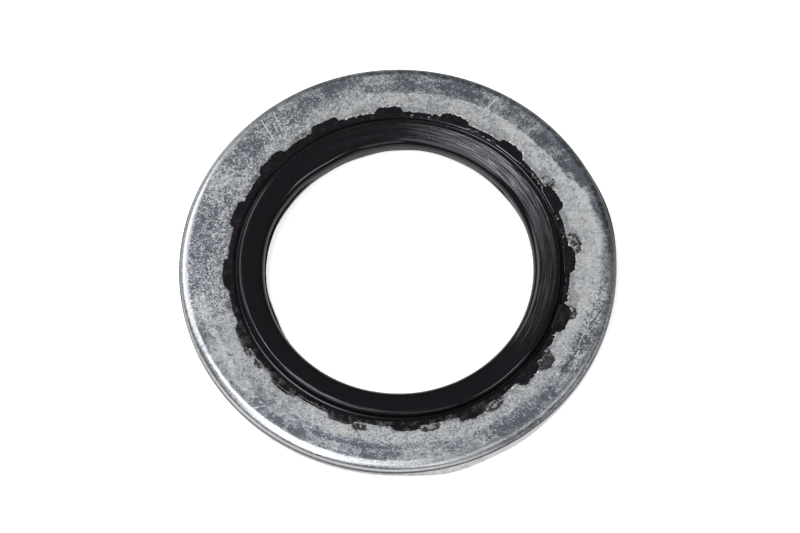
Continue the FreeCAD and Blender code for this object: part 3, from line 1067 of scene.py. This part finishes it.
def make_steel_material(settings):
    """Worn zinc plate: dark mottled outer band, chalky inner band, burnished rolled edge with a painted
    highlight and painted shade.
    """
    material, tree, shader = new_material("worn_zinc_plate")
    place = place_in_mm(tree)
    blotch = cloud(tree, place, 0.75, 5.0, 0.62)
    mottle = cloud(tree, place, 2.6, 6.0, 0.68)
    grain = cloud(tree, place, 4.4, 5.0, 0.8)
    speck = spangle(tree, place, 13.0)
    rays = cloud(tree, round_place(tree, place, 26.0, 0.7), 1.0, 4.0, 0.6)
    rings = cloud(tree, round_place(tree, place, 2.0, 9.0), 1.0, 3.0, 0.6)

    mottled, grained = reckon(tree, "SUBTRACT", mottle, 0.5), reckon(tree, "SUBTRACT", grain, 0.5)
    speckle = plus(tree, 0.0, (reckon(tree, "SUBTRACT", speck, 0.5), 0.42), (grained, 0.8))
    speckle = reckon(tree, "MULTIPLY", speckle, step_up(tree, painted(tree, "grit"), 0.0, 1.0, 0.6, 2.2))

    level = plus(
        tree, 0.0, (reckon(tree, "SUBTRACT", blotch, 0.5), 1.1), (mottled, 1.6),
        (reckon(tree, "SUBTRACT", rays, 0.5), 0.9), (painted(tree, "tone"), 0.7), (speckle, 1.8))
    dark_share = step_up(tree, level, -0.55, 0.3)
    light_share = step_up(tree, level, 0.1, 1.0)
    zinc = mix_tones(tree, dark_share, settings.slate, settings.zinc)
    zinc = mix_tones(tree, light_share, zinc, settings.chalk)

    chalk_share = plus(tree, painted(tree, "chalk"), (mottled, 0.55), (speckle, 0.35))
    chalk_share = step_up(tree, chalk_share, 0.05, 0.85)
    chalk_level = plus(tree, mottle, (speckle, 1.6), (painted(tree, "pale"), 1.0))
    chalk_level = step_up(tree, chalk_level, 0.1, 0.85)
    dull_chalk = tuple(0.45 * tone for tone in settings.chalk)
    chalk = mix_tones(tree, chalk_level, dull_chalk, settings.chalk)
    warm = tuple(settings.chalk[i] * (1.05, 1.0, 0.95)[i] for i in range(3))
    chalk = mix_tones(tree, step_up(tree, blotch, 0.45, 0.65, 0.0, 0.5), chalk, warm)
    face = mix_tones(tree, chalk_share, zinc, chalk)

    smudge = reckon(tree, "MULTIPLY", painted(tree, "smudge"), step_up(tree, mottle, 0.35, 0.6))
    face = mix_tones(tree, step_up(tree, smudge, 0.12, 0.75, 0.0, 0.92), face, SOOT)
    for name, worn, tone in (
            ("old_film", step_up(tree, mottle, 0.2, 0.6, 0.3, 0.8), (0.22, 0.235, 0.235)),
            ("old_line", step_up(tree, mottle, 0.35, 0.6, 0.0, 0.85), SOOT)):
        face = mix_tones(tree, reckon(tree, "MULTIPLY", painted(tree, name), worn), face, tone)
    scar_level = step_up(tree, plus(tree, mottle, (speckle, 0.5)), 0.3, 0.8)
    scar_tone = mix_tones(tree, scar_level, (0.06, 0.062, 0.067), (0.5, 0.51, 0.52))
    scar = plus(tree, painted(tree, "scar"), (speckle, 0.5), (mottled, 0.8))
    face = mix_tones(tree, step_up(tree, scar, 0.25, 0.75, 0.0, 0.85), face, scar_tone)
    fleck = plus(tree, 0.0, (speck, 0.7), (grain, 0.5))
    face = mix_tones(tree, step_up(tree, fleck, 0.88, 0.95, 0.0, 0.35), face, GLINT)
    face = mix_tones(tree, step_up(tree, fleck, 0.34, 0.27, 0.0, 0.45), face, settings.slate)
    height = to_mm(settings.thickness) / 2
    for first, out_first, last, out_last, width, lightness in SCRATCHES:
        ends = face_place(first, out_first), face_place(last, out_last)
        start, end = [Vector((*map(float, point), height)) for point in ends]
        line = scratch(tree, place, grained, start, end, width)
        tone = (0.80, 0.81, 0.82) if lightness > 0 else (0.06, 0.064, 0.07)
        face = mix_tones(tree, reckon(tree, "MULTIPLY", line, abs(lightness)), face, tone)
    # Painted highlight: glints along the film's torn edge.
    edge = painted(tree, "edge")
    face = mix_tones(tree, edge, face, GLINT)

    # The rolled edge's burnished colour, laid on where its painted highlight falls.
    rim = painted(tree, "rim")
    rim_tone = mix_tones(tree, step_up(tree, rings, 0.3, 0.7), (0.5, 0.52, 0.55), settings.bright)
    colour = mix_tones(tree, rim, face, rim_tone)
    # Painted shade darkens the lower part of the rolled edge.
    rim_shade = step_up(tree, mottle, 0.2, 0.45, 0.75, 1.0)
    rim_shade = reckon(tree, "MULTIPLY", painted(tree, "rim_shade"), rim_shade)
    colour = mix_tones(tree, rim_shade, colour, (0.085, 0.08, 0.075))
    torn = painted(tree, "torn")
    # The torn wall is pale steel, with a painted highlight round one angle.
    torn_level = step_up(tree, plus(tree, mottle, (painted(tree, "wall_highlight"), 0.3)), 0.25, 0.7)
    torn_tone = mix_tones(tree, torn_level, (0.42, 0.42, 0.42), (0.85, 0.85, 0.85))
    colour = mix_tones(tree, torn, colour, torn_tone)
    tree.links.new(colour, shader.inputs["Base Color"])

    metal = plus(tree, 0.92, (chalk_share, -0.72), (smudge, -0.4), (torn, -0.5))
    tree.links.new(metal, shader.inputs["Metallic"])
    roughness = plus(
        tree, 0.42, (chalk_share, 0.25), (mottled, 0.35), (edge, -0.2), (rim, -0.17), (torn, 0.15))
    tree.links.new(roughness, shader.inputs["Roughness"])
    normal = bump(tree, mottle, 0.000012)
    normal = bump(tree, grain, 0.000006, normal)
    normal = bump(tree, rings, 0.000003, normal)
    tree.links.new(normal, shader.inputs["Normal"])
    return material


def make_rubber_material(settings):
    """Moulded black rubber: fine turned lines on the bead, talc and dust on the margin."""
    material, tree, shader = new_material("moulded_black_rubber")
    place = place_in_mm(tree)
    lines = cloud(tree, round_place(tree, place, 1.3, 6.5), 1.0, 1.0, 0.6)
    fine_lines = cloud(tree, round_place(tree, place, 3.0, 13.0), 1.0, 1.0, 0.6)
    mottle = cloud(tree, place, 2.2, 5.0, 0.65)
    grain = cloud(tree, place, 14.0, 3.0, 0.6)
    dusty = reckon(tree, "MULTIPLY", painted(tree, "dusty"), step_up(tree, mottle, 0.42, 0.68))
    dusty = reckon(tree, "MULTIPLY", dusty, step_up(tree, grain, 0.35, 0.62))
    colour = mix_tones(tree, step_up(tree, mottle, 0.3, 0.75, 0.0, 0.35), settings.rubber,
                       tuple(2.2 * tone for tone in settings.rubber))
    colour = mix_tones(tree, step_up(tree, grain, 0.72, 0.8, 0.0, 0.5), colour, settings.dust)
    colour = mix_tones(tree, dusty, colour, settings.dust)
    tree.links.new(colour, shader.inputs["Base Color"])
    turned_lines = plus(tree, 0.0, (lines, 0.5), (fine_lines, 0.5))
    worn_lines = reckon(tree, "MULTIPLY", painted(tree, "turned"), step_up(tree, turned_lines, 0.35, 0.65))
    roughness = plus(tree, 0.12, (worn_lines, 0.14), (dusty, 0.4), (painted(tree, "wall"), 0.06))
    tree.links.new(roughness, shader.inputs["Roughness"])
    shader.inputs["Specular IOR Level"].default_value = 0.47
    shader.inputs["Specular Tint"].default_value = (0.96, 0.93, 1.0, 1.0)
    line_height = reckon(tree, "SUBTRACT", turned_lines, 0.5)
    line_height = reckon(tree, "MULTIPLY", line_height, painted(tree, "turned"))
    normal = bump(tree, line_height, 0.000052)
    normal = bump(tree, grain, 0.000001, normal)
    tree.links.new(normal, shader.inputs["Normal"])
    return material


def make_scrap_material(settings):
    """Dry gritty rubber smeared with grey steel dust."""
    material, tree, shader = new_material("torn_rubber_film")
    place = place_in_mm(tree)
    grain = cloud(tree, place, 8.0, 4.0, 0.65)
    mottle = cloud(tree, place, 3.5, 3.0, 0.6)
    level = plus(tree, grain, (reckon(tree, "SUBTRACT", mottle, 0.5), 0.8))
    dark = tuple(settings.rubber[i] * (2.6, 2.1, 2.0)[i] for i in range(3))
    tree.links.new(mix_tones(tree, step_up(tree, level, 0.45, 0.85), dark, settings.dust),
                   shader.inputs["Base Color"])
    tree.links.new(step_up(tree, grain, 0.3, 0.7, 0.45, 0.8), shader.inputs["Roughness"])
    shader.inputs["Specular IOR Level"].default_value = 0.45
    tree.links.new(bump(tree, grain, 0.000012), shader.inputs["Normal"])
    return material


def make_chip_material(settings):
    """Fresh bright steel, a little stained."""
    material, tree, shader = new_material("torn_bright_steel")
    stain = cloud(tree, place_in_mm(tree), 6.0, 3.0, 0.6)
    tree.links.new(mix_tones(tree, step_up(tree, stain, 0.4, 0.65), (0.9, 0.91, 0.92), settings.chalk),
                   shader.inputs["Base Color"])
    shader.inputs["Metallic"].default_value = 0.85
    tree.links.new(step_up(tree, stain, 0.3, 0.7, 0.2, 0.45), shader.inputs["Roughness"])
    return material


class WASHER_OT_steel_ring(bpy.types.Operator):
    """Build the worn steel ring in place of its solid"""

    bl_idname = "washer.steel_ring"
    bl_label = "Steel ring"

    def execute(self, context):
        settings = context.scene.washer_steel
        piece = add_piece(
            "steel_ring", make_steel_mesh(settings), make_steel_material(settings))
        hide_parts("steel_washer")
        return {"FINISHED"}


class WASHER_OT_seal_ring(bpy.types.Operator):
    """Build the moulded rubber seal in place of its solid"""

    bl_idname = "washer.seal_ring"
    bl_label = "Rubber seal"

    def execute(self, context):
        settings = context.scene.washer_seal
        mesh = make_seal_mesh(settings, context.scene.washer_steel)
        piece = add_piece("seal_ring", mesh, make_rubber_material(settings))
        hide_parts("rubber_seal")
        return {"FINISHED"}


class WASHER_OT_residue(bpy.types.Operator):
    """Build the scraps of rubber film and the chips of torn steel on the upper face"""

    bl_idname = "washer.residue"
    bl_label = "Scraps and chips"

    def execute(self, context):
        settings, steel = context.scene.washer_residue, context.scene.washer_steel
        scraps, chips = make_scrap_mesh(settings, steel), make_chip_mesh(settings, steel)
        add_piece("rubber_scraps", scraps, make_scrap_material(context.scene.washer_seal))
        add_piece("steel_chips", chips, make_chip_material(steel))
        return {"FINISHED"}


def add_camera(settings):
    """The camera at the photograph's angle."""
    turn, elevation, roll = settings.camera_turn, settings.camera_elevation, settings.camera_roll
    back = Vector((
        math.sin(turn) * math.cos(elevation),
        -math.cos(turn) * math.cos(elevation),
        math.sin(elevation)))
    right = Vector((math.cos(turn), math.sin(turn), 0))
    up = back.cross(right)
    right, up = (
        right * math.cos(roll) - up * math.sin(roll),
        right * math.sin(roll) + up * math.cos(roll))
    lens = bpy.data.cameras.new("camera")
    lens.sensor_width = 36.0
    lens.lens = settings.lens
    lens.clip_start = 0.01
    lens.clip_end = 50.0
    camera = bpy.data.objects.new("camera", lens)
    place = back * settings.camera_distance + right * settings.aim_right + up * settings.aim_up
    turned_axes = Matrix((right, up, back)).transposed()
    camera.matrix_world = Matrix.Translation(place) @ turned_axes.to_4x4()
    bpy.context.scene.collection.objects.link(camera)
    bpy.context.scene.camera = camera


# A lamp: name, azimuth and elevation of its direction in degrees, distance, width and height in
# metres, and brightness of its face, where the light of an evenly white room would be 1.
LAMPS = (
    ("overhead", 151.0, 73.2, 1.2, 0.36, 0.34, 10.5),
    ("left_window", 224.0, 53.0, 1.2, 0.80, 1.05, 2.2),
    ("back_left_window", 143.0, 35.0, 1.2, 0.80, 0.60, 2.5),
    ("front_card", 328.0, 47.0, 1.2, 0.46, 0.40, 4.0),
    ("front_fill", 280.0, 34.0, 1.2, 0.50, 0.60, 1.2),
)


def add_lamp(name, azimuth, elevation, distance, width, height, brightness):
    """A rectangular lamp that faces the washer."""
    lamp = bpy.data.lights.new(name, "AREA")
    lamp.shape = "RECTANGLE"
    lamp.size = width
    lamp.size_y = height
    lamp.energy = brightness * math.pi * width * height
    turn, lift = math.radians(azimuth), math.radians(elevation)
    back = Vector((math.cos(turn) * math.cos(lift), math.sin(turn) * math.cos(lift), math.sin(lift)))
    holder = bpy.data.objects.new(name, lamp)
    holder.location = back * distance
    holder.rotation_mode = "QUATERNION"
    holder.rotation_quaternion = back.to_track_quat("Z", "Y")
    bpy.context.scene.collection.objects.link(holder)


def make_room(settings):
    """A soft grey room, dark along its walls, whose backdrop is white."""
    world = bpy.data.worlds.new("pale_room")
    world.use_nodes = True
    bpy.context.scene.world = world
    tree = world.node_tree
    direction = tree.nodes.new("ShaderNodeTexCoord")
    split = tree.nodes.new("ShaderNodeSeparateXYZ")
    tree.links.new(direction.outputs["Generated"], split.inputs[0])
    wall_top, ceiling_start = 0.2, 0.8
    level = step_up(tree, split.outputs["Z"], wall_top, ceiling_start, 0.6 * settings.ambient,
                    1.4 * settings.ambient)
    light = tree.nodes.new("ShaderNodeCombineColor")
    for channel in ("Red", "Green", "Blue"):
        tree.links.new(level, light.inputs[channel])
    seen = tree.nodes.new("ShaderNodeLightPath").outputs["Is Camera Ray"]
    colour = mix_tones(tree, seen, light.outputs[0], (1.0, 1.0, 1.0))
    tree.links.new(colour, tree.nodes["Background"].inputs["Color"])


def make_floor(settings):
    """A round white floor under the seal's lower bead."""
    columns = 96
    turn = np.linspace(0, 2 * math.pi, columns, endpoint=False)
    radius = settings.floor_radius
    floor_height = SEAL_BOX[0].z - 0.01 * MM
    rim = [(radius * math.cos(a), radius * math.sin(a), floor_height) for a in turn]
    mesh = bpy.data.meshes.new("floor")
    mesh.from_pydata(rim, [], [tuple(range(columns))])
    mesh.update()
    floor = bpy.data.objects.new("floor", mesh)
    bpy.context.scene.collection.objects.link(floor)
    material, tree, shader = new_material("white_floor")
    shader.inputs["Roughness"].default_value = 0.9
    shader.inputs["Specular IOR Level"].default_value = 0.0
    rays = tree.nodes.new("ShaderNodeLightPath").outputs
    seen = rays["Is Camera Ray"]
    white = reckon(tree, "MAXIMUM", rays["Is Glossy Ray"], rays["Is Transmission Ray"])
    white = reckon(tree, "MAXIMUM", white, seen)
    tree.links.new(mix_tones(tree, white, (0.8, 0.8, 0.8), (1.0, 1.0, 1.0)), shader.inputs["Base Color"])
    shader.inputs["Emission Color"].default_value = (1.0, 1.0, 1.0, 1.0)
    tree.links.new(reckon(tree, "MULTIPLY", seen, 0.6), shader.inputs["Emission Strength"])
    mesh.materials.append(material)


class WASHER_OT_stage(bpy.types.Operator):
    """Set up the camera, the lamps, the room and the floor"""

    bl_idname = "washer.stage"
    bl_label = "Stage"

    def execute(self, context):
        settings = context.scene.washer_stage
        add_camera(settings)
        for lamp in LAMPS:
            add_lamp(*lamp)
        make_room(settings)
        make_floor(settings)
        context.scene.view_settings.view_transform = "Standard"
        return {"FINISHED"}


class WASHER_PT_panel(bpy.types.Panel):
    """Lists the washer's pieces in the order in which they are built"""

    bl_label = "Bonded seal washer"
    bl_idname = "WASHER_PT_panel"
    bl_space_type = "VIEW_3D"
    bl_region_type = "UI"
    bl_category = "Washer"

    def draw(self, context):
        for operator, group in STEPS:
            box = self.layout.box()
            box.operator(operator.bl_idname)
            for name in getattr(context.scene, group).bl_rna.properties.keys():
                if name not in ("rna_type", "name"):
                    box.prop(getattr(context.scene, group), name)


STEPS = (
    (WASHER_OT_stage, "washer_stage"),
    (WASHER_OT_steel_ring, "washer_steel"),
    (WASHER_OT_seal_ring, "washer_seal"),
    (WASHER_OT_residue, "washer_residue"),
)
GROUPS = {
    "washer_stage": StageSettings,
    "washer_steel": SteelRingSettings,
    "washer_seal": SealRingSettings,
    "washer_residue": ResidueSettings,
}


def register():
    for name, group in GROUPS.items():
        bpy.utils.register_class(group)
        setattr(bpy.types.Scene, name, PointerProperty(type=group))
    for operator, group in STEPS:
        bpy.utils.register_class(operator)
    bpy.utils.register_class(WASHER_PT_panel)


def unregister():
    bpy.utils.unregister_class(WASHER_PT_panel)
    for operator, group in reversed(STEPS):
        bpy.utils.unregister_class(operator)
    for name, group in GROUPS.items():
        delattr(bpy.types.Scene, name)
        bpy.utils.unregister_class(group)


def main():
    register()
    bpy.ops.washer.stage()
    bpy.ops.washer.steel_ring()
    bpy.ops.washer.seal_ring()
    bpy.ops.washer.residue()


if __name__ == "__main__":
    main()
